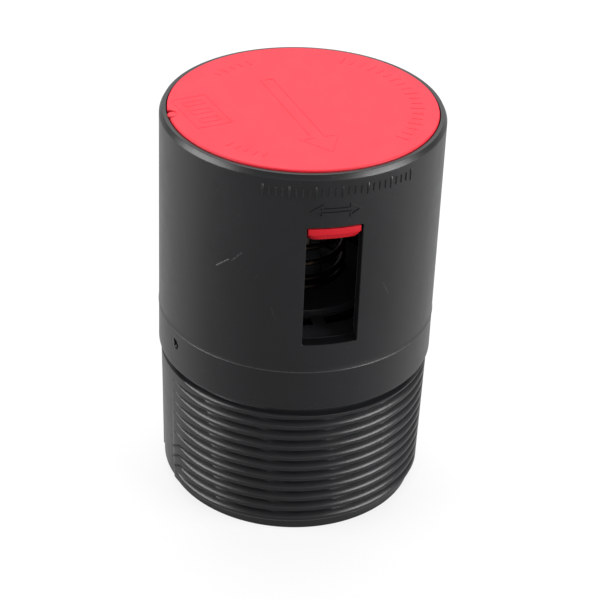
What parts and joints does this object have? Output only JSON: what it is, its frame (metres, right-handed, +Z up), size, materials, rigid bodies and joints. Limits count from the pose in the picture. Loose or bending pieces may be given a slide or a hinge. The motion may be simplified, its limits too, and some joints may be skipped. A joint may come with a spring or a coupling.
{
  "type": "air admittance valve",
  "caption": "Threaded cylindrical air admittance valve with a snap-in cap, two side windows and a spring-closed disc that opens downward to let air into a drain pipe.",
  "frame": {"origin": "centre of the threaded end's face, which the valve stands on", "axes": "+Z up along the thread's axis, -Y towards the front with the first window turned 14.5 degrees towards +X"},
  "size_m": [0.0488, 0.0488, 0.0724],
  "materials": {
    "black_plastic": "satin moulded",
    "red_plastic": "satin moulded",
    "white_plastic": "satin moulded",
    "black_rubber": "matt",
    "spring_steel": "drawn wire"
  },
  "bodies": {
    "housing": {"housing": "black_plastic", "cap": "red_plastic", "spring": "spring_steel"},
    "valve": {"stem": "white_plastic", "seal_disc": "black_rubber", "disc_washer": "spring_steel", "spring_cup": "white_plastic", "push_nut": "spring_steel"}
  },
  "joints": [
    {"name": "valve_slide", "type": "slide", "parent": "housing", "child": "valve", "axis": [0, 0, -1], "range_m": [0, 0.006], "stiffness_N_per_m": 25, "springref_m": -0.008, "deforming": ["spring"]}
  ]
}
